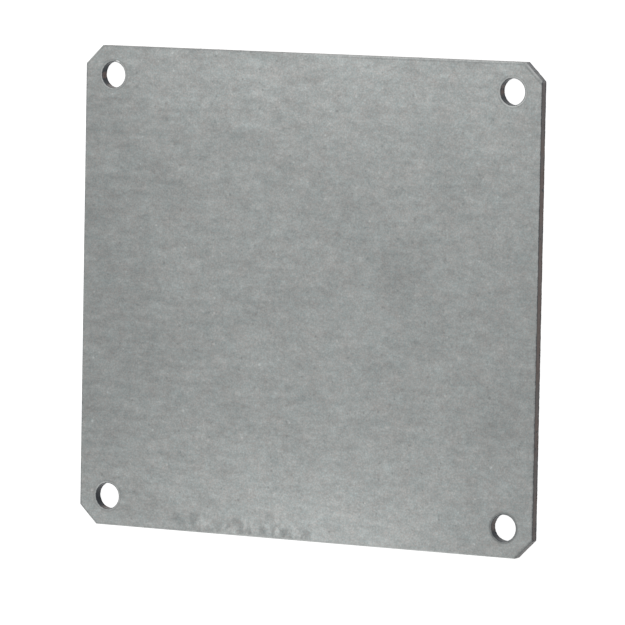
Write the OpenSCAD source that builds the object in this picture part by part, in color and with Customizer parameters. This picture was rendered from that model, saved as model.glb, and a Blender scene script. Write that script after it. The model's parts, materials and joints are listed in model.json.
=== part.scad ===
// Flat mounting plate of galvanised sheet steel, cut to size and punched from the front.
// It lies on its back face: the back is at z = 0 and the front faces up.
// The origin is the centre of the back face. X runs across the plate and Y up it.

/* [Plate] */
// Width of the plate, side edge to side edge
plate_w = 100; // [60:0.5:240]
// Height of the plate, bottom edge to top edge
plate_h = 96; // [60:0.5:240]
// Thickness of the sheet
sheet_t = 2; // [1.5:0.1:4]

/* [Corner cuts] */
// Length that each 45 degree corner cut takes off both of its edges
corner_cut = 3.6; // [1:0.1:6]
// Width of the rim that the notching punch draws down along a corner cut
corner_rim_w = 0.5; // [0.3:0.05:0.8]
// Depth of that rim, where it meets the cut wall
corner_rim_depth = 0.25; // [0.05:0.01:0.3]

/* [Fixing holes] */
// Diameter of the fixing holes, at their cut wall
hole_d = 5.2; // [3:0.1:8]
// Distance from a hole's centre to the nearer side edge
hole_inset_x = 6.2; // [5:0.1:20]
// Distance from a hole's centre to the top or bottom edge
hole_inset_y = 5.8; // [5:0.1:20]
// Width of the rim that the hole punch draws down round a hole
hole_rim_w = 0.4; // [0.3:0.05:0.8]
// Depth of that rim, where it meets the cut wall
hole_rim_depth = 0.1; // [0.05:0.01:0.3]

/* [Sheared edges] */
// Width of the rim that the shear draws down along the four long edges
edge_rim_w = 0.35; // [0.3:0.05:0.8]
// Depth of that rim, where it meets the cut wall
edge_rim_depth = 0.1; // [0.05:0.01:0.3]
// Height of the torn band of every edge and hole, up from the back face
tear_h = 0.5; // [0.3:0.05:1.1]
// How far the torn band leans away from the cut wall, at the back face
tear_lean = 0.04; // [0.02:0.01:0.3]

/* [Hidden] */
$fn = 96;

// Length that a cutting shape runs past the metal
past = 1;
// Length of metal behind an edge that outruns the plate in every direction
reach = plate_w + plate_h;
// Distance from the plate's centre to a corner cut
corner_dist = (plate_w / 2 + plate_h / 2 - corner_cut) / sqrt(2);
// Rims, as their width and depth
edge_rim = [edge_rim_w, edge_rim_depth];
corner_rim = [corner_rim_w, corner_rim_depth];
hole_rim = [hole_rim_w, hole_rim_depth];
// Every straight edge: the way it faces, its distance from the centre and its rim
side_edges = [for (facing = [0, 180]) [facing, plate_w / 2, edge_rim]];
end_edges = [for (facing = [90, 270]) [facing, plate_h / 2, edge_rim]];
corner_edges = [for (facing = [45 : 90 : 315]) [facing, corner_dist, corner_rim]];
edges = concat(side_edges, end_edges, corner_edges);
// Hole centres, from the plate's centre
hole_x = plate_w / 2 - hole_inset_x;
hole_y = plate_h / 2 - hole_inset_y;

// Radius of a rim that starts tangent to the front face and meets the wall at its depth
function rim_r(rim) = (rim[0] * rim[0] + rim[1] * rim[1]) / (2 * rim[1]);

// What a cut takes from the sheet, seen end on: the cut wall stands at u = 0 with the
// metal at negative u, and the back face is v = 0. A rim is drawn down along the front,
// and the torn band leans away below the wall
module cut_loss(rim) {
    translate([-rim[0], 0])
        difference() {
            translate([0, sheet_t - rim[1]])
                square([rim[0] + past, rim[1] + past]);
            translate([0, sheet_t - rim_r(rim)])
                circle(r = rim_r(rim));
        }
    polygon([
        [0, tear_h],
        [-tear_lean, 0],
        [-tear_lean, -past],
        [past, -past],
        [past, tear_h]
    ]);
}

// Sheet that ends at one straight cut edge, facing the given way
module cut_sheet(facing, distance, rim) {
    rotate([0, 0, facing])
        translate([distance, 0, 0])
            rotate([90, 0, 0])
                linear_extrude(height = 2 * reach, center = true)
                    difference() {
                        translate([-reach, 0])
                            square([reach, sheet_t]);
                        cut_loss(rim);
                    }
}

// The blank is what all eight cuts leave, so their rims and torn bands meet in mitres
module blank() {
    intersection_for (edge = edges)
        cut_sheet(edge[0], edge[1], edge[2]);
}

// What the punch takes out at a hole: the same cut, turned round the hole's axis
module punched_hole() {
    rotate_extrude() {
        translate([0, -past])
            square([hole_d / 2, sheet_t + 2 * past]);
        intersection() {
            translate([hole_d / 2, 0])
                mirror([1, 0])
                    cut_loss(hole_rim);
            translate([0, -past])
                square([hole_d, sheet_t + 2 * past]);
        }
    }
}

module plate() {
    color([0.60, 0.62, 0.61])
        difference() {
            blank();
            for (x = [-hole_x, hole_x], y = [-hole_y, hole_y])
                translate([x, y, 0])
                    punched_hole();
        }
}

plate();
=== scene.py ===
"""Galvanised sheet-steel mounting plate: the finished sheet, its finishes and a plain studio."""

import json
import math
import random

import bmesh
import bpy
from bpy.props import FloatProperty, FloatVectorProperty, IntProperty, PointerProperty
from mathutils import Euler, Matrix, Vector, noise


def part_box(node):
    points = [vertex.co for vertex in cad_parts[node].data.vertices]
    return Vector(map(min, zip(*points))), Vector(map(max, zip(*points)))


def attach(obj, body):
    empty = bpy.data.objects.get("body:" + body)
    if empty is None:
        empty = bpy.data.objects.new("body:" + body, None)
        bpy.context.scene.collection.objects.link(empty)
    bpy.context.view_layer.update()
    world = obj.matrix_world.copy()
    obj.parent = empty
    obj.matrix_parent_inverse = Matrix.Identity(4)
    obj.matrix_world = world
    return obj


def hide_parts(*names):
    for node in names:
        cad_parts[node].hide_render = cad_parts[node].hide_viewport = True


bl_info = {
    "name": "Galvanised mounting plate",
    "version": (1, 0, 0),
    "blender": (4, 5, 0),
    "location": "View3D > Sidebar > Plate",
    "description": "Builds a sheared and punched zinc-coated plate with its finishes and a studio",
    "category": "Add Mesh",
}

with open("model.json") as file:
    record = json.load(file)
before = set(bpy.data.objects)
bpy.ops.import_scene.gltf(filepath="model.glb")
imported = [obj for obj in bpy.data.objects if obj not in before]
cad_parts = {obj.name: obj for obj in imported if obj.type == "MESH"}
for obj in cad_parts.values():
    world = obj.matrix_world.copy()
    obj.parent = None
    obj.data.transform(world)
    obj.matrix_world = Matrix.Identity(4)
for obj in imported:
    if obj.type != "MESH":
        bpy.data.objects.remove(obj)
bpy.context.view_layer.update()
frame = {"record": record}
PLATE_LOW, PLATE_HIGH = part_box("plate")
MOUNTS = {mount["name"]: mount for mount in frame["record"]["mounts"]}
HOLES = MOUNTS["hole_pattern"]["dims"]

MM = 0.001
HALF_W = (PLATE_HIGH.x - PLATE_LOW.x) / 2
HALF_H = (PLATE_HIGH.y - PLATE_LOW.y) / 2
SHEET_T = PLATE_HIGH.z - PLATE_LOW.z
HOLE_X = HOLES["spacing_x_mm"] * MM / 2
HOLE_Y = HOLES["spacing_y_mm"] * MM / 2
HOLE_R = HOLES["hole_r_mm"] * MM

# Out of the front face, across the plate and up it
OUT = Vector((0, 0, 1))
ACROSS = Vector((1, 0, 0))
UP = Vector((0, 1, 0))

# Levels this near each other are the same, and so are points this near a cut or each other
NEAR = 1e-6
ON_CUT = 1e-8
WELD = 1e-7
# A face is flat if its normal's z is above the first, and part of a rim above the second
FLAT = 0.9995
SLOPING = 0.3
# A vertex is on a wall if the share of its normal in the plane is at least this
UPRIGHT = 0.2
# Two directions are the same if their cosine is above this
PARALLEL = 0.9999
# An edge that turns more than this stays sharp
SHARP = math.radians(24)
# Width of the strip of flat face along every rim
MARGIN = 0.15 * MM

# Knocked part of the bottom edge, and the run of knocks in it, across the plate
DENT_SPAN = (-31 * MM, 4 * MM)
KNOCK_RUN = (-16 * MM, 1.5 * MM)

# Round spots in the plane of the sheet: across, up and radius
SMUDGES = (
    (-28.1 * MM, -45.3 * MM, 1.3 * MM),
    (-24.0 * MM, -45.1 * MM, 1.5 * MM),
    (-14.4 * MM, -45.4 * MM, 1.4 * MM),
    (-7.1 * MM, -43.7 * MM, 1.3 * MM),
    (-7.6 * MM, -47.0 * MM, 1.2 * MM),
    (-3.9 * MM, -46.6 * MM, 1.2 * MM),
)
# Patches of painted shade on the front face
PAINTED_SHADE_PATCHES = (-37 * MM, -45 * MM, 9 * MM), (20.6 * MM, 7 * MM, 9 * MM)
# A painted glint on the rim of the upper left hole
PAINTED_HOLE_GLINT = (
    (-HOLE_X + 0.74 * MM, HOLE_Y + 2.82 * MM, 0.34 * MM),
    (-HOLE_X + 1.08 * MM, HOLE_Y + 2.70 * MM, 0.32 * MM),
)
# Brown patches on the walls of the holes: painted reflection
PAINTED_HOLE_REFLECTIONS = (
    (-HOLE_X - 2.6 * MM, HOLE_Y - 0.2 * MM, 0.9 * MM),
    (-HOLE_X - 0.9 * MM, HOLE_Y - 2.5 * MM, 1.3 * MM),
    (HOLE_X - 2.6 * MM, HOLE_Y + 0.3 * MM, 1.5 * MM),
    (-HOLE_X - 0.8 * MM, -HOLE_Y - 2.5 * MM, 1.1 * MM),
    (HOLE_X - 2.5 * MM, -HOLE_Y + 0.4 * MM, 1.6 * MM),
)
# Paler patches low on the walls of the left holes: painted reflection
PAINTED_HOLE_SHEEN = (
    (-HOLE_X - 0.5 * MM, HOLE_Y - 2.6 * MM, 1.5 * MM),
    (-HOLE_X - 0.2 * MM, -HOLE_Y - 2.6 * MM, 1.1 * MM),
)
# Round the lower right hole the rims are darkened: painted shade
PAINTED_SHADE_HOLE = ((HOLE_X, -HOLE_Y, 6 * MM),)

# Lines of painted shade inside the rims: the edge that each follows, its distance in from it and its
# darkness
PAINTED_SHADE_LINES = ("Corner cut", 0.47 * MM, 0.38), ("End", 0.42 * MM, 0.2)

# Layers of grain in the zinc coat, and how much of each the flat faces and the rims have
ZINC_LAYERS = {
    "Crystals": {"size": 0.35 * MM, "detail": 2.0, "roughness": 0.8},
    "Speckle": {"size": 0.85 * MM, "detail": 1.0, "roughness": 0.5, "stretch": (0.8, 1, 1),
                "shift": (0.1, 0.2, 0)},
    "Mottling": {"size": 2.3 * MM, "detail": 4.0, "roughness": 0.75, "stretch": (0.6, 1, 1)},
    "Streaks": {"size": 1.6 * MM, "detail": 3.0, "roughness": 0.7, "stretch": (0.16, 1, 1)},
    "Clouds": {"size": 16 * MM, "detail": 2.0, "roughness": 0.55, "shift": (0.013, 0.004, 0)},
}
FACE_COAT = {"Crystals": 0.94, "Speckle": 0.32, "Mottling": 0.6, "Clouds": 0.3}
RIM_COAT = {"Crystals": 1.1, "Speckle": 0.6, "Mottling": 0.7, "Streaks": 0.0, "Clouds": 0.2}

# Slow and fine layers of the coat's tint, each with its weight, and the two ends of the tint
TINT_LAYERS = (
    (0.95, {"size": 2.8 * MM, "detail": 4.0, "roughness": 0.75, "shift": (0.2, 0, 0)}),
    (1.6, {"size": 0.4 * MM, "detail": 1.0, "roughness": 0.6, "shift": (0.3, 0, 0)}),
)
WARM_TINT = (1.06, 0.975, 0.95, 1)
COOL_TINT = (0.95, 1.03, 1.04, 1)

# Width of the cells that the coat's specks are sown in, and the curve of the coat's tone
SPECK_CELL = 3.4 * MM
TONE_CURVE = 1.6

# Softboxes: name, place, width and the studio's setting for the power. The floor's reach is
# from its middle to its edge, in metres
SOFTBOXES = (
    ("head_softbox", (-0.05, 0.10, 0.16), 0.16, "head_watts"),
    ("foot_softbox", (-0.065, -0.145, 0.10), 0.16, "foot_watts"),
    ("side_softbox", (-0.60, 0.0, 0.25), 0.5, "side_watts"),
)
FLOOR_REACH = 6
SENSOR_MM = 36

ZINC_FACE, DRAWN_RIM, SHEARED_WALL, PUNCHED_WALL = range(4)
FLOAT, VECTOR = "NodeSocketFloat", "NodeSocketVector"


def length(name, text, default):
    """A length in metres, shown in the scene's unit."""
    return FloatProperty(name=name, description=text, default=default, unit="LENGTH", precision=5)


def colour(name, text, default):
    """A linear colour."""
    return FloatVectorProperty(
        name=name, description=text, default=default, subtype="COLOR", size=3, min=0, max=1
    )


class PlateSheet(bpy.types.PropertyGroup):
    """Sizes of the cut sheet that the frame's box and mounts don't give."""

    corner_cut: length("Corner cut", "Length taken off both edges at each corner", 3.6 * MM)
    edge_rim: length("Edge rim", "Width of the drawn-down rim on the long edges", 0.35 * MM)
    corner_rim: length("Corner rim", "Width of the drawn-down rim on the corner cuts", 0.5 * MM)
    hole_rim: length("Hole rim", "Width of the drawn-down rim round the holes", 0.4 * MM)
    rim_depth: length("Rim depth", "Depth of the edge and hole rims at the wall", 0.1 * MM)
    corner_rim_depth: length("Corner rim depth", "Depth of the corner rims at the wall", 0.25 * MM)
    tear_height: length("Tear height", "Height of the torn band above the back", 0.5 * MM)
    tear_lean: length("Tear lean", "How far the torn band leans away at the back", 0.04 * MM)
    corner_round: length("Corner rounding", "Radius of the outline's eight corners", 0.16 * MM)
    tear_rough: length("Tear roughness", "Swing of the torn band's upper border", 0.12 * MM)
    burr: length("Torn outline", "Swing of the torn metal in and out at the back", 0.09 * MM)
    column: length("Wall column", "Width of one column of faces along the walls", 0.24 * MM)
    cell: length("Face cell", "Width of one cell of the flat faces", 4 * MM)
    dent_row: length("Dented row", "Height of the finely divided row at the bottom", 4 * MM)
    dent_cell: length("Dented cell", "Width of one cell in the dented row", 0.4 * MM)
    dent_depth: length("Dent depth", "Depth of the deepest dents", 0.07 * MM)
    ripple: length("Ripple", "Height of the sheet's slow waves", 0.015 * MM)
    ripple_wave: length("Ripple wave", "Length of the sheet's slow waves", 38 * MM)
    rim_steps: IntProperty(name="Rim steps", description="Facets across a rim", default=7)
    hole_steps: IntProperty(name="Hole steps", description="Facets round a hole", default=120)


class PlateFinish(bpy.types.PropertyGroup):
    """Colours of the zinc coat and of the cut steel, some of them painted light and shade."""

    zinc_light: colour("Zinc, light", "Lightest zinc crystals", (0.597, 0.622, 0.616))
    zinc_dark: colour("Zinc, dark", "Darkest zinc clouds", (0.281, 0.294, 0.293))
    rim_dark: colour("Drawn zinc, dark", "Dark marks in the rims", (0.218, 0.229, 0.228))
    rim_zinc: colour("Drawn zinc", "Zinc rubbed smooth over the rims", (0.460, 0.475, 0.468))
    # Colour of the painted glints on the upper left hole's rim and the upper right corner cut
    painted_glint_colour: colour("Painted glint", "Nick at one hole and glint of one corner cut", (0.80, 0.81, 0.81))
    # Slate-grey of the rims beside the wall: painted shade
    painted_rim_shade: colour("Painted rim shade", "Steel where the zinc of a rim is rubbed through", (0.075, 0.084, 0.092))
    # Darker than bare steel: partly brown oxide, partly painted shade
    cut_steel: colour("Cut steel", "Burnished band of the sheared walls", (0.074, 0.063, 0.061))
    notch_steel: colour("Notched steel", "Burnished band of the corner cuts", (0.130, 0.137, 0.144))
    torn_steel: colour("Torn steel", "Torn band of the cut walls", (0.048, 0.047, 0.049))
    # Near-black: painted shade on the walls of the holes; also the dark flecks of the sheared walls
    hole_shade_and_flecks: colour("Punched steel", "Burnished wall of the holes", (0.007, 0.011, 0.017))
    # Brown on the walls of the holes: painted reflection
    painted_hole_reflection: colour("Painted hole reflection", "Brown film on the walls of the holes", (0.075, 0.052, 0.046))
    # Paler brown low in the left holes: painted reflection
    painted_hole_sheen: colour("Painted hole sheen", "Lighter burnish low in the left holes", (0.170, 0.145, 0.138))
    brown_bloom: colour("Brown bloom", "Thin brown film on bare steel", (0.085, 0.058, 0.049))


class PlateStudio(bpy.types.PropertyGroup):
    """Camera, lamps, sky and floor."""

    turn: FloatProperty(name="Turn", description="Camera's turn about the plate's height",
                        default=math.radians(26.94), subtype="ANGLE")
    tilt: FloatProperty(name="Tilt", description="Camera's tilt towards the plate's top",
                        default=math.radians(5.10), subtype="ANGLE")
    roll: FloatProperty(name="Roll", description="Camera's roll about its own axis",
                        default=math.radians(1.056), subtype="ANGLE")
    aim_x: length("Aim across", "Where the camera's axis meets the front face", 1.56 * MM)
    aim_y: length("Aim up", "Where the camera's axis meets the front face", -2.74 * MM)
    distance: length("Distance", "From the front face to the camera", 1.1064)
    lens: FloatProperty(name="Lens", description="Focal length for a 36 mm sensor, in mm",
                        default=325.0)
    head_watts: FloatProperty(name="Head light", default=0.04, unit="POWER",
                              description="Power of the softbox over the top edge")
    foot_watts: FloatProperty(name="Foot light", default=0.03, unit="POWER",
                              description="Power of the softbox beyond the bottom edge")
    side_watts: FloatProperty(name="Side light", default=0.15, unit="POWER",
                              description="Power of the low softbox on the left")
    sky: FloatProperty(name="Sky", description="Strength of the even light all round",
                       default=0.72)
    floor_lift: FloatProperty(name="Floor lift", default=0.92,
                              description="Light that only makes the floor look whiter")
    floor_grey: FloatProperty(name="Floor grey", description="Reflectance of the floor",
                              default=0.35)


def arc_section(rim, sheet):
    """Points (u, z) of a cut edge from the front face to the back: u = 0 is the cut wall.
    A rim is its width and its depth at the wall."""
    radius = rim.length_squared / (2 * rim.y)
    sweep = math.asin(rim.x / radius)
    points = []
    for step in range(sheet.rim_steps + 1):
        angle = sweep * step / sheet.rim_steps
        points.append((radius * math.sin(angle) - rim.x, SHEET_T - radius * (1 - math.cos(angle))))
    points.append((0.0, sheet.tear_height))
    points.append((-sheet.tear_lean, 0.0))
    return points


def corner_distance(sheet):
    """Distance from the plate's centre to a corner cut."""
    return (HALF_W + HALF_H - sheet.corner_cut) / math.sqrt(2)


def outline_edges(sheet):
    """Every edge of the outline: (direction, distance from the centre, rim)."""
    corner = corner_distance(sheet)
    corner_rim = Vector((sheet.corner_rim, sheet.corner_rim_depth))
    edge_rim = Vector((sheet.edge_rim, sheet.rim_depth))
    main = []
    for eighth in range(8):
        angle = math.radians(45 * eighth)
        facing = Vector((math.cos(angle), math.sin(angle), 0))
        if eighth % 2:
            main.append((facing, corner, corner_rim))
        elif eighth % 4:
            main.append((facing, HALF_H, edge_rim))
        else:
            main.append((facing, HALF_W, edge_rim))
    return main


def rounding_edges(main, radius, count=3):
    """Small edges that round the outline's corners, in the same form."""
    small = []
    for (face_a, dist_a, rim_a), (face_b, dist_b, rim_b) in zip(main, main[1:] + main[:1]):
        rows = Matrix((face_a.xy, face_b.xy))
        centre = rows.inverted() @ Vector((dist_a - radius, dist_b - radius))
        for step in range(1, count + 1):
            share = step / (count + 1)
            facing = face_a.lerp(face_b, share).normalized()
            small.append((facing, centre.dot(facing.xy) + radius, rim_a.lerp(rim_b, share)))
    return small


def plane_cut(bm, place, normal, clear=True):
    """Cuts the solid with a plane, takes what is outside away and closes the cut."""
    found = bmesh.ops.bisect_plane(
        bm,
        geom=bm.verts[:] + bm.edges[:] + bm.faces[:],
        dist=ON_CUT,
        plane_co=place,
        plane_no=normal,
        clear_outer=clear,
    )
    rim = [item for item in found["geom_cut"] if isinstance(item, bmesh.types.BMEdge)]
    if clear and rim:
        bmesh.ops.contextual_create(bm, geom=rim)


def cut_edge(bm, facing, distance, section):
    """Shears the blank along one edge, facet by facet of the edge's section."""
    for (u_a, z_a), (u_b, z_b) in zip(section, section[1:]):
        place = facing * (distance + u_a) + OUT * z_a
        normal = (facing * (z_a - z_b) + OUT * (u_b - u_a)).normalized()
        plane_cut(bm, place, normal)


def flat_face(bm, height):
    """The large face at one height."""
    return max((f for f in bm.faces if abs(f.calc_center_median().z - height) < NEAR),
               key=lambda f: f.calc_area())


def split_columns(bm, main, sheet):
    """Splits the bands along the eight main edges into narrow columns."""
    for facing, distance, rim in main:
        along = facing.cross(OUT)
        lines = [
            e for e in bm.edges
            if abs((e.verts[0].co + e.verts[1].co).dot(facing) / 2 - distance) < 1.5 * rim.x
            and abs((e.verts[1].co - e.verts[0].co).normalized().dot(along)) > PARALLEL
            and e.calc_length() > 2 * sheet.corner_rim
        ]
        longest = max(e.calc_length() for e in lines)
        bmesh.ops.subdivide_edges(bm, edges=lines, cuts=int(longest / sheet.column), use_grid_fill=True)


def spin_hole(bm, x, y, section, sheet):
    """Turns the same edge section round a hole's axis."""
    points = [(sheet.hole_rim + MARGIN, SHEET_T)]
    points += [(-u, z) for u, z in section]
    points += [(sheet.tear_lean + MARGIN, 0.0)]
    verts = [bm.verts.new((x + HOLE_R + out, y, z)) for out, z in points]
    edges = [bm.edges.new(pair) for pair in zip(verts, verts[1:])]
    bmesh.ops.spin(
        bm,
        geom=verts + edges,
        cent=(x, y, 0),
        axis=OUT,
        angle=2 * math.pi,
        steps=sheet.hole_steps,
        use_merge=True,
    )


def settle_order(bm):
    """Puts the edges and faces in the order of their vertices: a spin leaves them in another
    order on every run."""
    bm.verts.index_update()
    for items in (bm.edges, bm.faces):
        ordered = sorted(items, key=lambda item: sorted(v.index for v in item.verts))
        for count, item in enumerate(ordered):
            item.index = count
        items.sort()


def fill_face(bm, height):
    """Fills one flat face between the outline and the holes."""
    loops = [
        e for e in bm.edges
        if e.is_boundary and all(abs(v.co.z - height) < NEAR for v in e.verts)
    ]
    bmesh.ops.triangle_fill(bm, edges=loops, use_beauty=True, normal=OUT)


def divide_faces(bm, faces, axis, low, high, cell):
    """Divides some faces into rows of about one cell's width, across one axis."""
    geom = set(faces)
    for face in faces:
        geom.update(face.edges)
        geom.update(face.verts)
    count = round((high - low) / cell)
    for step in range(1, count):
        found = bmesh.ops.bisect_plane(
            bm,
            geom=list(geom),
            dist=NEAR,
            plane_co=axis * (low + (high - low) * step / count),
            plane_no=axis,
        )
        geom = found["geom"]
    return [item for item in geom if isinstance(item, bmesh.types.BMFace)]


def wander(place, seed):
    """Slow and fast noise along a wall, about -1 to 1."""
    place = place + Vector((seed, 0, seed))
    return noise.noise(place / (1.3 * MM)) * 0.9 + noise.noise(place / (0.4 * MM)) * 0.8


def roughen_walls(bm, sheet):
    """Lets the border of the torn band wander and its metal stand unevenly."""
    foot, low = sheet.tear_height, sheet.tear_height / 2
    for v in bm.verts:
        outward = Vector((v.normal.x, v.normal.y, 0))
        if outward.length < UPRIGHT:
            continue
        if abs(v.co.z - foot) < NEAR:
            v.co.z += sheet.tear_rough * wander(v.co, 0.1)
        elif abs(v.co.z - low) < NEAR:
            v.co += outward.normalized() * 0.5 * sheet.burr * wander(v.co, 0.2)
        elif abs(v.co.z) < NEAR:
            v.co += outward.normalized() * 0.5 * sheet.burr * (wander(v.co, 0.3) - 0.3)


def in_dent_row(centre, sheet):
    """Whether a face of the front lies where the dents are."""
    low, high = DENT_SPAN
    return low < centre.x < high and centre.y < sheet.dent_row - HALF_H


def press_dents(bm, sheet, dents):
    """Presses shallow dents (x, y, radius, share of the full depth) into the front. They are a
    little longer up the plate than across it."""
    for v in bm.verts:
        if v.co.z < SHEET_T - 1.2 * sheet.rim_depth:
            continue
        for x, y, radius, share in dents:
            away = math.hypot(v.co.x - x, (v.co.y - y) * 0.8) / radius
            if away < 1:
                v.co.z -= share * sheet.dent_depth * (1 + math.cos(math.pi * away)) / 2


def knocks():
    """The dents: one under each of the first two smudges and a run along the bottom edge."""
    draw = random.Random(11)
    (first_x, first_y, _), (second_x, second_y, _) = SMUDGES[:2]
    dents = [(first_x, first_y, 1.2 * MM, 0.8), (second_x, second_y, 1.0 * MM, 0.7)]
    x, last = KNOCK_RUN
    while x < last:
        inward = draw.uniform(0.5, 1.9) * MM
        dents.append((x, -HALF_H + inward, draw.uniform(0.8, 1.3) * MM, draw.uniform(0.5, 1.0)))
        x += draw.uniform(1.4, 2.3) * MM
    return dents


def mark_materials(bm, sheet):
    """Gives every face the finish of its zone."""
    for face in bm.faces:
        face.smooth = True
        centre = face.calc_center_median()
        if abs(face.normal.z) > FLAT:
            face.material_index = ZINC_FACE
        elif face.normal.z > SLOPING:
            face.material_index = DRAWN_RIM
        else:
            from_hole = math.hypot(abs(centre.x) - HOLE_X, abs(centre.y) - HOLE_Y)
            near_hole = from_hole < HOLE_R + 2 * sheet.tear_lean
            face.material_index = PUNCHED_WALL if near_hole else SHEARED_WALL
    for edge in bm.edges:
        edge.smooth = edge.calc_face_angle(0) < SHARP


def build_sheet(sheet):
    """The whole plate as one closed mesh."""
    bm = bmesh.new()
    bmesh.ops.create_cube(bm, size=1)
    bmesh.ops.scale(bm, vec=(2 * HALF_W, 2 * HALF_H, SHEET_T), verts=bm.verts)
    bmesh.ops.translate(bm, vec=OUT * SHEET_T / 2, verts=bm.verts)
    main = outline_edges(sheet)
    for facing, distance, rim in main + rounding_edges(main, sheet.corner_round):
        cut_edge(bm, facing, distance, arc_section(rim, sheet))
    plane_cut(bm, OUT * sheet.tear_height / 2, OUT, clear=False)
    split_columns(bm, main, sheet)
    for height in (SHEET_T, 0.0):
        face = flat_face(bm, height)
        bmesh.ops.inset_individual(bm, faces=[face], thickness=MARGIN, use_even_offset=True)
        bmesh.ops.delete(bm, geom=[face], context="FACES_ONLY")
    section = arc_section(Vector((sheet.hole_rim, sheet.rim_depth)), sheet)
    section.insert(-1, (-sheet.tear_lean / 2, sheet.tear_height / 2))
    for x in (-HOLE_X, HOLE_X):
        for y in (-HOLE_Y, HOLE_Y):
            spin_hole(bm, x, y, section, sheet)
    settle_order(bm)
    for height in (SHEET_T, 0.0):
        fill_face(bm, height)
    bmesh.ops.recalc_face_normals(bm, faces=bm.faces)
    flat = [f for f in bm.faces if abs(f.normal.z) > FLAT]
    flat = divide_faces(bm, flat, ACROSS, -HALF_W, HALF_W, sheet.cell)
    flat = divide_faces(bm, flat, UP, -HALF_H, HALF_H, sheet.cell)
    row = [f for f in flat if f.normal.z > 0 and in_dent_row(f.calc_center_median(), sheet)]
    row = divide_faces(bm, row, ACROSS, *DENT_SPAN, sheet.dent_cell)
    divide_faces(bm, row, UP, -HALF_H, sheet.dent_row - HALF_H, sheet.dent_cell)
    bmesh.ops.remove_doubles(bm, verts=bm.verts, dist=WELD)
    bmesh.ops.recalc_face_normals(bm, faces=bm.faces)
    bm.normal_update()
    mark_materials(bm, sheet)
    roughen_walls(bm, sheet)
    press_dents(bm, sheet, knocks())
    for v in bm.verts:
        v.co.z += sheet.ripple * (1 + noise.noise(Vector((v.co.x, v.co.y, 0)) / sheet.ripple_wave))
    return bm


def add_node(tree, kind, inputs=None, **settings):
    """One node with its settings; an input is a value or a socket to link from."""
    made = tree.nodes.new(kind)
    for name, value in settings.items():
        setattr(made, name, value)
    for key, value in (inputs or {}).items():
        if isinstance(value, bpy.types.NodeSocket):
            tree.links.new(value, made.inputs[key])
        else:
            made.inputs[key].default_value = value
    return made


def maths(tree, operation, a, b=0.0, c=0.0, clamp=False):
    """The result socket of one Math node."""
    made = add_node(tree, "ShaderNodeMath", {0: a, 1: b, 2: c}, operation=operation, use_clamp=clamp)
    return made.outputs[0]


def chain(tree, operation, *parts):
    """One Math operation over several values, from left to right."""
    total, *rest = parts
    for part in rest:
        total = maths(tree, operation, total, part)
    return total


def axes_of(tree, place):
    """The x, y and z sockets of a place."""
    return add_node(tree, "ShaderNodeSeparateXYZ", {0: place}).outputs


def grain(tree, place, size, detail=2.0, roughness=0.6, stretch=(1, 1, 1), shift=(0, 0, 0), lean=0.0):
    """Noise of a given grain size in metres, from 0 to 1 about 0.5; the lean turns its grain."""
    mapped = add_node(
        tree,
        "ShaderNodeMapping",
        {"Vector": place, "Location": shift, "Rotation": (0, 0, lean), "Scale": stretch},
    )
    made = add_node(
        tree,
        "ShaderNodeTexNoise",
        {"Vector": mapped.outputs[0], "Scale": 1 / size, "Detail": detail, "Roughness": roughness},
    )
    return made.outputs[0]


def ramp(tree, value, low, high, to_low=0.0, to_high=1.0):
    """A smooth step of a value between two limits."""
    made = add_node(
        tree,
        "ShaderNodeMapRange",
        {0: value, 1: low, 2: high, 3: to_low, 4: to_high},
        interpolation_type="SMOOTHSTEP",
    )
    return made.outputs[0]


def soft_line(tree, distance, where, core, reach, share):
    """A soft line where a distance has one value: its share in the core, 0 past its reach."""
    off = maths(tree, "ABSOLUTE", maths(tree, "SUBTRACT", distance, where))
    return ramp(tree, off, core, reach, share, 0.0)


def weigh(tree, layers):
    """The sum of some layers of grain about 0.5, given as pairs of a layer and its weight."""
    total = 0.5
    for layer, weight in layers:
        total = maths(tree, "MULTIPLY_ADD", maths(tree, "SUBTRACT", layer, 0.5), weight, total)
    return total


def blend(tree, factor, a, b):
    """A colour between a and b."""
    made = add_node(tree, "ShaderNodeMix", {0: factor, 6: a, 7: b}, data_type="RGBA")
    return made.outputs[2]


def new_group(name, inputs, outputs):
    """An empty node group: inputs are {name: (socket type, default)}, outputs {name: type}."""
    tree = bpy.data.node_groups.new(name, "ShaderNodeTree")
    for label, (kind, default) in inputs.items():
        made = tree.interface.new_socket(label, in_out="INPUT", socket_type=kind)
        if default is not None:
            made.default_value = default
    for label, kind in outputs.items():
        tree.interface.new_socket(label, in_out="OUTPUT", socket_type=kind)
    source = tree.nodes.new("NodeGroupInput").outputs
    sink = tree.nodes.new("NodeGroupOutput").inputs
    return tree, source, sink


def group_distances(sheet):
    """Distances in the plane of the sheet: in from the nearer side edge, from the nearer end
    edge and from the nearest corner cut, and out from the wall of the nearest hole."""
    tree, source, sink = new_group(
        "Plate distances", {"Place": (VECTOR, None)},
        {"Side": FLOAT, "End": FLOAT, "Corner cut": FLOAT, "Hole": FLOAT},
    )
    folded = add_node(tree, "ShaderNodeVectorMath", {0: source["Place"]}, operation="ABSOLUTE")
    across, up, _ = axes_of(tree, folded.outputs[0])
    tree.links.new(maths(tree, "SUBTRACT", HALF_W, across), sink["Side"])
    tree.links.new(maths(tree, "SUBTRACT", HALF_H, up), sink["End"])
    both = maths(tree, "ADD", across, up)
    from_cut = maths(tree, "MULTIPLY_ADD", both, -math.sqrt(0.5), corner_distance(sheet))
    tree.links.new(from_cut, sink["Corner cut"])
    flat = add_node(tree, "ShaderNodeCombineXYZ", {0: across, 1: up}).outputs[0]
    away = add_node(tree, "ShaderNodeVectorMath", {0: flat, 1: (HOLE_X, HOLE_Y, 0)}, operation="DISTANCE")
    tree.links.new(maths(tree, "SUBTRACT", away.outputs["Value"], HOLE_R), sink["Hole"])
    return tree


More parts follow.
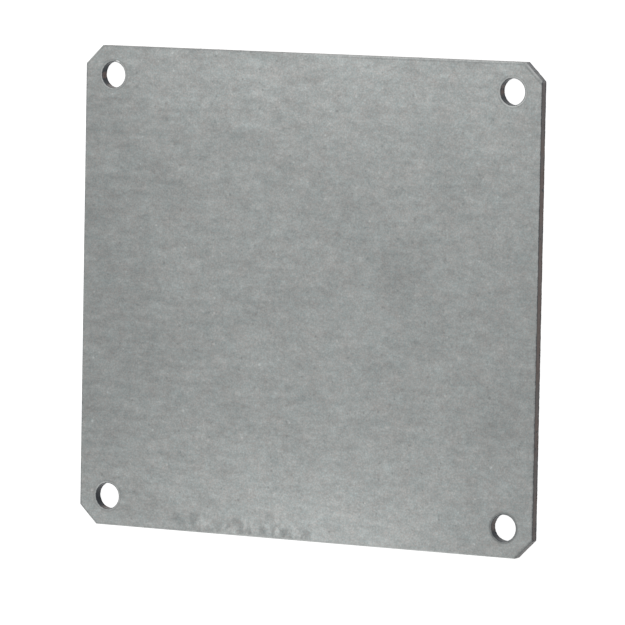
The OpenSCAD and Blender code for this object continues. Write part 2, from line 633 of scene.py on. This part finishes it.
def speckled(tree, place):
    """Sparse round specks, one at most in a cell: small pits below 0 and nicks above 0."""
    cells = add_node(tree, "ShaderNodeTexVoronoi", {"Vector": place, "Scale": 1 / SPECK_CELL},
                     voronoi_dimensions="2D").outputs
    chance = add_node(tree, "ShaderNodeSeparateColor", {0: cells["Color"]}).outputs
    radius = maths(tree, "MULTIPLY_ADD", chance[1], 0.07, 0.05)
    dot = ramp(tree, maths(tree, "DIVIDE", cells["Distance"], radius), 0.4, 1.0, 1.0, 0.0)
    pit = ramp(tree, chance[0], 0.62, 0.66, 0.0, -1.0)
    nick = ramp(tree, chance[0], 0.10, 0.14, 1.0, 0.0)
    return maths(tree, "MULTIPLY", dot, maths(tree, "ADD", pit, nick))


def group_zinc():
    """Zinc coat: the tone is the weighed sum of its layers, and the tint goes from warm to
    cool, both about 0.5. The specks are 0 where there is none."""
    weights = {name: (FLOAT, 0.3) for name in ZINC_LAYERS}
    tree, source, sink = new_group(
        "Zinc coat",
        {"Place": (VECTOR, None), **weights},
        {"Tone": FLOAT, "Tint": FLOAT, "Specks": FLOAT, "Height": FLOAT},
    )
    place = source["Place"]
    layers = {name: grain(tree, place, **how) for name, how in ZINC_LAYERS.items()}
    tone = weigh(tree, [(layer, source[name]) for name, layer in layers.items()])
    tint = weigh(tree, [(grain(tree, place, **how), weight) for weight, how in TINT_LAYERS])
    relief = maths(tree, "MULTIPLY", layers["Mottling"], 0.4)
    relief = maths(tree, "MULTIPLY_ADD", layers["Crystals"], 0.6, relief)
    tree.links.new(tone, sink["Tone"])
    tree.links.new(tint, sink["Tint"])
    tree.links.new(speckled(tree, place), sink["Specks"])
    tree.links.new(relief, sink["Height"])
    return tree


def group_walls(sheet):
    """Cut wall: its upright score marks, its pits, and 1 in the torn band, which ends in a
    ragged border."""
    tree, source, sink = new_group(
        "Cut wall",
        {"Place": (VECTOR, None), "Tear height": (FLOAT, sheet.tear_height),
         "Raggedness": (FLOAT, 0.2 * MM)},
        {"Scores": FLOAT, "Torn": FLOAT, "Pits": FLOAT},
    )
    place = source["Place"]
    scores = grain(tree, place, 0.12 * MM, 2.0, 0.7, stretch=(1, 1, 0.05))
    pits = grain(tree, place, 0.16 * MM, 3.0, 0.7)
    sway = grain(tree, place, 0.7 * MM, 3.0, 0.6, stretch=(1, 1, 0.1))
    border = maths(tree, "MULTIPLY_ADD", maths(tree, "SUBTRACT", sway, 0.5),
                   maths(tree, "MULTIPLY", source["Raggedness"], 2.0), source["Tear height"])
    above = maths(tree, "SUBTRACT", axes_of(tree, place)[2], border)
    tree.links.new(scores, sink["Scores"])
    tree.links.new(ramp(tree, above, -0.05 * MM, 0.05 * MM, 1.0, 0.0), sink["Torn"])
    tree.links.new(pits, sink["Pits"])
    return tree


def group_painted_shade_lines():
    """Painted shade: dark lines inside the rims of the upper right corner cut and of the top edge
    beside it."""
    tree, source, sink = new_group(
        "Rub lines",
        {"Place": (VECTOR, None), "Corner cut": (FLOAT, 1.0), "End": (FLOAT, 1.0)},
        {"Line": FLOAT},
    )
    across, up, _ = axes_of(tree, source["Place"])
    there = ramp(tree, maths(tree, "MINIMUM", across, up), 0.0, 10 * MM)
    lines = 0.0
    for edge, inward, share in PAINTED_SHADE_LINES:
        line = soft_line(tree, source[edge], inward, 0.04 * MM, 0.3 * MM, share)
        lines = maths(tree, "MAXIMUM", lines, line)
    tree.links.new(maths(tree, "MULTIPLY", lines, there), sink["Line"])
    return tree


def group_spot():
    """A round spot in the plane of the sheet: 1 at its middle, 0 outside it."""
    tree, source, sink = new_group(
        "Round spot",
        {"Place": (VECTOR, None), "Across": (FLOAT, 0.0), "Up": (FLOAT, 0.0), "Radius": (FLOAT, MM)},
        {"Mask": FLOAT},
    )
    flat = add_node(tree, "ShaderNodeVectorMath", {0: source["Place"], 1: (1, 1, 0)}, operation="MULTIPLY")
    centre = add_node(tree, "ShaderNodeCombineXYZ", {0: source["Across"], 1: source["Up"]}).outputs[0]
    away = add_node(tree, "ShaderNodeVectorMath", {0: flat.outputs[0], 1: centre}, operation="DISTANCE")
    share = maths(tree, "DIVIDE", away.outputs["Value"], source["Radius"])
    tree.links.new(ramp(tree, share, 0.4, 1.0, 1.0, 0.0), sink["Mask"])
    return tree


def make_groups(sheet):
    """Every node group that the materials share."""
    return {
        "zinc": group_zinc(),
        "distances": group_distances(sheet),
        "walls": group_walls(sheet),
        "painted shade lines": group_painted_shade_lines(),
        "spot": group_spot(),
    }


def place_group(tree, group, inputs):
    """One use of a group in a material, with its own values."""
    return add_node(tree, "ShaderNodeGroup", inputs, node_tree=group).outputs


def spot_mask(tree, place, groups, spots):
    """1 inside any of some round spots (x, y, radius), 0 outside them."""
    mask = 0.0
    for x, y, radius in spots:
        spot = place_group(tree, groups["spot"], {"Place": place, "Across": x, "Up": y, "Radius": radius})
        mask = maths(tree, "MAXIMUM", mask, spot["Mask"])
    return mask


def painted_shade_lines(tree, place, groups, near):
    """How far the lines of painted shade darken a finish here."""
    inputs = {"Place": place, "Corner cut": near["Corner cut"], "End": near["End"]}
    return place_group(tree, groups["painted shade lines"], inputs)["Line"]


def new_material(name):
    """An empty material: its tree, its Principled shader and the object coordinates."""
    material = bpy.data.materials.new(name)
    material.use_nodes = True
    tree = material.node_tree
    shader = tree.nodes["Principled BSDF"]
    place = add_node(tree, "ShaderNodeTexCoord").outputs["Object"]
    return material, tree, shader, place


def finish_metal(tree, shader, base, rough, height, depth, strength):
    """Gives a bare metal its colour, its roughness and small relief, with the depth in metres."""
    tree.links.new(base, shader.inputs["Base Color"])
    tree.links.new(rough, shader.inputs["Roughness"])
    shader.inputs["Metallic"].default_value = 1.0
    bump = add_node(tree, "ShaderNodeBump", {"Height": height, "Distance": depth, "Strength": strength})
    tree.links.new(bump.outputs[0], shader.inputs["Normal"])


def rgba(value):
    """A colour property as four numbers."""
    return (*value, 1.0)


def painted_light_and_shade(tree, place, groups):
    """Slow painted light and shade in the coat's tone: paler towards the bottom and the top as
    painted light, darker to the left, to the lower right and in the shade patches as painted shade."""
    across, up, _ = axes_of(tree, place)
    bottom = maths(tree, "MULTIPLY", ramp(tree, up, -46 * MM, -16 * MM, 1.0, 0.0),
                   ramp(tree, maths(tree, "ABSOLUTE", across), 12 * MM, 34 * MM, 0.24, 0.12))
    top = maths(tree, "MULTIPLY", ramp(tree, up, 20 * MM, 46 * MM, 0.0, 0.12),
                ramp(tree, across, -36 * MM, -14 * MM, 0.5, 1.0))
    left = maths(tree, "MULTIPLY", ramp(tree, across, -52 * MM, -20 * MM, -0.17, 0.0),
                 ramp(tree, maths(tree, "ABSOLUTE", up), 30 * MM, 46 * MM, 1.0, 0.2))
    right = maths(tree, "MULTIPLY", ramp(tree, across, 20 * MM, 48 * MM, 0.0, -0.07),
                  ramp(tree, up, -8 * MM, 24 * MM, 1.0, 0.0))
    patch_shade = maths(tree, "MULTIPLY", spot_mask(tree, place, groups, PAINTED_SHADE_PATCHES), -0.08)
    return chain(tree, "ADD", bottom, top, left, right, patch_shade)


def knock_marks(tree, place, groups, from_end):
    """Dark and light scuffs among the knocks at the bottom edge, and smudges beside them, on
    the front only."""
    across, up, level = axes_of(tree, place)
    scuff = grain(tree, place, 1.8 * MM, 3.0, 0.65, stretch=(1, 0.7, 1), shift=(0.05, 0.07, 0),
                  lean=math.radians(35))
    scuff = ramp(tree, scuff, 0.35, 0.65, -0.28, 0.12)
    low, high = DENT_SPAN
    band = chain(
        tree, "MULTIPLY",
        ramp(tree, from_end, 1.8 * MM, 3.4 * MM, 1.0, 0.0),
        ramp(tree, up, 0.0, 1 * MM, 1.0, 0.0),
        ramp(tree, across, low, low + 4 * MM),
        ramp(tree, across, high - 3 * MM, high, 1.0, 0.0),
    )
    smudge = maths(tree, "MULTIPLY", spot_mask(tree, place, groups, SMUDGES), -0.2)
    front = ramp(tree, level, 0.3 * SHEET_T, 0.6 * SHEET_T)
    return maths(tree, "MULTIPLY", maths(tree, "MULTIPLY_ADD", scuff, band, smudge), front)


def zinc_face_material(finish, groups):
    """The flat faces: matt, mottled zinc with specks and knocks, lines of painted shade near the
    upper right corner cut and top edge, and a painted shade line round each hole."""
    material, tree, shader, place = new_material("zinc_face")
    streaks = ramp(tree, axes_of(tree, place)[0], -50 * MM, 14 * MM, 0.5, 0.24)
    coat = place_group(tree, groups["zinc"], {"Place": place, "Streaks": streaks, **FACE_COAT})
    near = place_group(tree, groups["distances"], {"Place": place})
    specks = maths(tree, "MULTIPLY", coat["Specks"], 0.26)
    knocked = knock_marks(tree, place, groups, near["End"])
    # The coat's tone takes painted light and shade as well as its own grain
    tone = chain(tree, "ADD", coat["Tone"], painted_light_and_shade(tree, place, groups), specks, knocked)
    # Painted shade: a dark line round each hole, just outside its rim
    hole_shade_line = soft_line(tree, near["Hole"], 0.5 * MM, 0.03 * MM, 0.2 * MM, 0.18)
    lines = maths(tree, "ADD", hole_shade_line, painted_shade_lines(tree, place, groups, near))
    tone = maths(tree, "SUBTRACT", tone, lines, clamp=True)
    curved = maths(tree, "POWER", tone, TONE_CURVE)
    base = blend(tree, curved, rgba(finish.zinc_dark), rgba(finish.zinc_light))
    tint = blend(tree, coat["Tint"], WARM_TINT, COOL_TINT)
    tinted = add_node(tree, "ShaderNodeMix", {0: 1.0, 6: base, 7: tint}, data_type="RGBA",
                      blend_type="MULTIPLY")
    rough = maths(tree, "MULTIPLY_ADD", coat["Tone"], -0.15, 0.56)
    finish_metal(tree, shader, tinted.outputs[2], rough, coat["Height"], 0.006 * MM, 0.6)
    return material


def drawn_rim_material(finish, groups):
    """The drawn-down rims: zinc rubbed smooth by the tools, with a slate-grey band of painted shade
    beside the wall along both sides and round the holes. Painted highlights make the zinc paler
    round the holes, on the upper corner cuts and along the middle of the end edges, and painted
    shade makes it duller on the lower corner cuts and round the lower right hole. The upper right
    cut has a thin painted glint, and the upper left hole a painted glint on its rim."""
    material, tree, shader, place = new_material("drawn_rim")
    coat = place_group(tree, groups["zinc"], {"Place": place, **RIM_COAT})
    near = place_group(tree, groups["distances"], {"Place": place})
    across, up, _ = axes_of(tree, place)
    # Painted light on the upper corner cuts' rims, painted shade on the lower ones
    cut_light_and_shade = maths(tree, "MULTIPLY", ramp(tree, near["Corner cut"], 0.16 * MM, 0.36 * MM, 1.0, 0.0),
                   ramp(tree, up, -10 * MM, 10 * MM, -0.5, 0.2))
    # Painted shade on the rims round the lower right hole
    painted_shade_at_hole = maths(tree, "MULTIPLY", spot_mask(tree, place, groups, PAINTED_SHADE_HOLE), -0.7)
    # Painted highlight: a paler ring on the rims round the holes
    painted_hole_highlight = ramp(tree, near["Hole"], 0.2 * MM, 0.42 * MM, 0.3, 0.0)
    # Painted highlight along the middle of the end edges' rims
    middle = ramp(tree, up, -10 * MM, 10 * MM, 8 * MM, 24 * MM)
    painted_edge_highlight = soft_line(tree, across, middle, 20 * MM, 38 * MM, 0.35)
    tone = chain(tree, "ADD", coat["Tone"], cut_light_and_shade, painted_shade_at_hole, painted_hole_highlight, painted_edge_highlight)
    tone = maths(tree, "SUBTRACT", tone, painted_shade_lines(tree, place, groups, near))
    base = blend(tree, tone, rgba(finish.rim_dark), rgba(finish.rim_zinc))
    # Painted shade: a slate-grey band beside the wall along both sides and round the holes
    from_wall = maths(tree, "MINIMUM", near["Side"], near["Hole"])
    ragged = maths(tree, "MULTIPLY_ADD", coat["Tone"], 0.16 * MM, from_wall)
    painted_wall_shade = ramp(tree, ragged, 0.14 * MM, 0.22 * MM, 1.0, 0.0)
    base = blend(tree, painted_wall_shade, base, rgba(finish.painted_rim_shade))
    # A painted glint along the middle of the upper right corner cut
    mid_cut = soft_line(tree, maths(tree, "SUBTRACT", across, up), HALF_W - HALF_H - 0.6 * MM,
                        1.4 * MM, 3.6 * MM, 0.32)
    glint = soft_line(tree, near["Corner cut"], 0.16 * MM, 0.03 * MM, 0.2 * MM, 1.0)
    glint = maths(tree, "MULTIPLY", glint, mid_cut)
    # Painted glints: the corner cut's and the spots on the upper left hole's rim
    glint_mask = maths(tree, "MAXIMUM", glint, spot_mask(tree, place, groups, PAINTED_HOLE_GLINT))
    base = blend(tree, glint_mask, base, rgba(finish.painted_glint_colour))
    rough = maths(tree, "MULTIPLY_ADD", coat["Tone"], -0.1, 0.46)
    finish_metal(tree, shader, base, rough, coat["Height"], 0.004 * MM, 0.5)
    return material


def cut_wall_material(name, groups, steels, painted_reflections=()):
    """A bare cut wall: scored and burnished above, torn and dull below, with a film in slow
    patches and sparse flecks. The corner cuts' walls take paler steel at the top as painted
    light and little of it at the bottom as painted shade, and all the walls are darker towards
    the bottom as painted shade. The steels are the colours of its parts. A painted reflection
    is a colour and its spots."""
    material, tree, shader, place = new_material(name)
    steels = {part: rgba(value) for part, value in steels.items()}
    wall = place_group(tree, groups["walls"], {"Place": place})
    near = place_group(tree, groups["distances"], {"Place": place})
    up = axes_of(tree, place)[1]
    notch = ramp(tree, near["Corner cut"], 0.1 * MM, 0.3 * MM, 1.0, 0.0)
    mottled = ramp(tree, grain(tree, place, 0.7 * MM), 0.38, 0.6, 0.55, 1.1)
    # Painted light and shade: the upper corner cuts' walls take the paler notched steel, the lower ones
    # little of it
    notch_light_and_shade = chain(tree, "MULTIPLY", notch, mottled, ramp(tree, up, -10 * MM, 10 * MM, 0.1, 1.0))
    base = blend(tree, notch_light_and_shade, steels["burnished"], steels["notched"])
    base = blend(tree, wall["Torn"], base, steels["torn"])
    off_notch = maths(tree, "MULTIPLY_ADD", notch, -0.8, 0.8)
    film = maths(tree, "MULTIPLY", ramp(tree, grain(tree, place, 6 * MM), 0.42, 0.57), off_notch)
    base = blend(tree, film, base, steels["film"])
    patches = ramp(tree, grain(tree, place, 0.5 * MM), 0.36, 0.5)
    # Painted reflections in their spots on the holes' walls
    for tone, spots in painted_reflections:
        mask = maths(tree, "MULTIPLY", spot_mask(tree, place, groups, spots), patches)
        base = blend(tree, mask, base, rgba(tone))
    flecks = ramp(tree, grain(tree, place, 1.1 * MM, 1.0, 0.5, shift=(0.1, 0.3, 0)), 0.69, 0.74)
    base = blend(tree, flecks, base, steels["flecks"])
    scored = maths(tree, "MULTIPLY_ADD", wall["Scores"], 0.9, 0.55)
    # Painted shade: the walls are darker towards the bottom of the plate
    scored = maths(tree, "MULTIPLY", scored, ramp(tree, up, -45 * MM, 30 * MM, 0.8, 0.98))
    shaded = add_node(tree, "ShaderNodeVectorMath", {0: base, "Scale": scored}, operation="SCALE")
    rough = maths(tree, "MULTIPLY_ADD", wall["Torn"], 0.25, 0.42)
    height = add_node(tree, "ShaderNodeMix", {0: wall["Torn"], 2: wall["Scores"], 3: wall["Pits"]})
    finish_metal(tree, shader, shaded.outputs[0], rough, height.outputs[0], 0.02 * MM, 0.7)
    return material


def floor_material(studio):
    """White floor that keeps shadows; the lift only shows to the eye and in reflections."""
    material = bpy.data.materials.new("floor_white")
    material.use_nodes = True
    tree = material.node_tree
    tree.nodes.clear()
    grey = studio.floor_grey
    matt = add_node(tree, "ShaderNodeBsdfDiffuse", {"Color": (grey, grey, grey, 1)})
    rays = add_node(tree, "ShaderNodeLightPath").outputs
    seen = maths(tree, "ADD", rays["Is Camera Ray"], rays["Is Glossy Ray"])
    seen = maths(tree, "ADD", seen, rays["Is Transmission Ray"], clamp=True)
    lift = maths(tree, "MULTIPLY", seen, studio.floor_lift)
    glow = add_node(tree, "ShaderNodeEmission", {"Strength": lift})
    both = add_node(tree, "ShaderNodeAddShader", {0: matt.outputs[0], 1: glow.outputs[0]})
    add_node(tree, "ShaderNodeOutputMaterial", {"Surface": both.outputs[0]})
    return material


def add_object(name, data):
    """A new object at the origin."""
    made = bpy.data.objects.new(name, data)
    bpy.context.scene.collection.objects.link(made)
    return made


def add_softbox(name, place, width, watts):
    """A square soft lamp that looks at the plate."""
    lamp = bpy.data.lights.new(name, "AREA")
    lamp.shape = "SQUARE"
    lamp.size = width
    lamp.energy = watts
    made = add_object(name, lamp)
    made.location = place
    made.rotation_euler = (-Vector(place)).to_track_quat("-Z", "Y").to_euler()


def add_sky(context, studio):
    """Even light all round, which looks white to the camera."""
    world = bpy.data.worlds.new("studio_sky")
    world.use_nodes = True
    tree, even = world.node_tree, world.node_tree.nodes["Background"]
    seen = add_node(tree, "ShaderNodeLightPath").outputs["Is Camera Ray"]
    tree.links.new(maths(tree, "MAXIMUM", seen, studio.sky), even.inputs["Strength"])
    even.inputs["Color"].default_value = (1, 1, 1, 1)
    context.scene.world = world


def add_camera(context, studio):
    """The camera looks down on the plate at the turn, tilt and roll given."""
    data = bpy.data.cameras.new("camera")
    data.lens = studio.lens
    data.sensor_width = SENSOR_MM
    camera = add_object("camera", data)
    turned = Euler((0, studio.turn, 0)).to_matrix() @ Euler((-studio.tilt, 0, 0)).to_matrix()
    turned = turned @ Euler((0, 0, studio.roll)).to_matrix()
    aim = Vector((studio.aim_x, studio.aim_y, SHEET_T))
    place = aim + turned @ Vector((0, 0, studio.distance))
    camera.matrix_world = Matrix.Translation(place) @ turned.to_4x4()
    context.scene.camera = camera


class PLATE_OT_sheet(bpy.types.Operator):
    """Build the sheared and punched sheet in place of the plain solid"""

    bl_idname = "plate.sheet"
    bl_label = "Plate sheet"

    def execute(self, context):
        sheet, finish = context.scene.plate_sheet, context.scene.plate_finish
        bm = build_sheet(sheet)
        loose = [e for e in bm.edges if not e.is_manifold]
        if loose:
            raise RuntimeError(f"the sheet isn't closed: {len(loose)} open edges")
        mesh = bpy.data.meshes.new("plate_sheet")
        bm.to_mesh(mesh)
        bm.free()
        groups = make_groups(sheet)
        mesh.materials.append(zinc_face_material(finish, groups))
        mesh.materials.append(drawn_rim_material(finish, groups))
        sheared = {
            "burnished": finish.cut_steel,
            "notched": finish.notch_steel,
            "torn": finish.torn_steel,
            "film": finish.brown_bloom,
            "flecks": finish.hole_shade_and_flecks,
        }
        # The holes' walls are near-black throughout: painted shade
        punched = dict.fromkeys(sheared, finish.hole_shade_and_flecks)
        # The punched walls' painted reflections: brown patches, and paler ones low in the left holes
        painted_reflections = (finish.painted_hole_reflection, PAINTED_HOLE_REFLECTIONS), (finish.painted_hole_sheen, PAINTED_HOLE_SHEEN)
        mesh.materials.append(cut_wall_material("sheared_wall", groups, sheared))
        mesh.materials.append(cut_wall_material("punched_wall", groups, punched, painted_reflections))
        piece = add_object("plate_sheet", mesh)
        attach(piece, "root")
        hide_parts("plate")
        return {"FINISHED"}


class PLATE_OT_stage(bpy.types.Operator):
    """Lay the white floor and set the lamps and the camera"""

    bl_idname = "plate.stage"
    bl_label = "Studio"

    def execute(self, context):
        studio = context.scene.plate_studio
        add_camera(context, studio)
        bm = bmesh.new()
        bmesh.ops.create_grid(bm, x_segments=1, y_segments=1, size=FLOOR_REACH)
        mesh = bpy.data.meshes.new("floor")
        bm.to_mesh(mesh)
        bm.free()
        mesh.materials.append(floor_material(studio))
        add_object("floor", mesh)
        for name, place, width, watts in SOFTBOXES:
            add_softbox(name, place, width, getattr(studio, watts))
        add_sky(context, studio)
        context.scene.view_settings.view_transform = "Standard"
        return {"FINISHED"}


class PLATE_PT_panel(bpy.types.Panel):
    """Sizes and steps of the plate"""

    bl_label = "Mounting plate"
    bl_idname = "PLATE_PT_panel"
    bl_space_type = "VIEW_3D"
    bl_region_type = "UI"
    bl_category = "Plate"

    def draw(self, context):
        column = self.layout.column()
        for group in (context.scene.plate_sheet, context.scene.plate_finish, context.scene.plate_studio):
            for name in group.__annotations__:
                column.prop(group, name)
        column.operator(PLATE_OT_sheet.bl_idname)
        column.operator(PLATE_OT_stage.bl_idname)


CLASSES = (PlateSheet, PlateFinish, PlateStudio, PLATE_OT_sheet, PLATE_OT_stage, PLATE_PT_panel)


def register():
    """Adds the classes and the settings."""
    for cls in CLASSES:
        bpy.utils.register_class(cls)
    bpy.types.Scene.plate_sheet = PointerProperty(type=PlateSheet)
    bpy.types.Scene.plate_finish = PointerProperty(type=PlateFinish)
    bpy.types.Scene.plate_studio = PointerProperty(type=PlateStudio)


def unregister():
    """Takes the settings and the classes away again."""
    del bpy.types.Scene.plate_studio
    del bpy.types.Scene.plate_finish
    del bpy.types.Scene.plate_sheet
    for cls in reversed(CLASSES):
        bpy.utils.unregister_class(cls)


def main():
    """Builds the plate and the studio."""
    register()
    bpy.ops.plate.stage()
    bpy.ops.plate.sheet()
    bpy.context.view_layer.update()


if __name__ == "__main__":
    main()
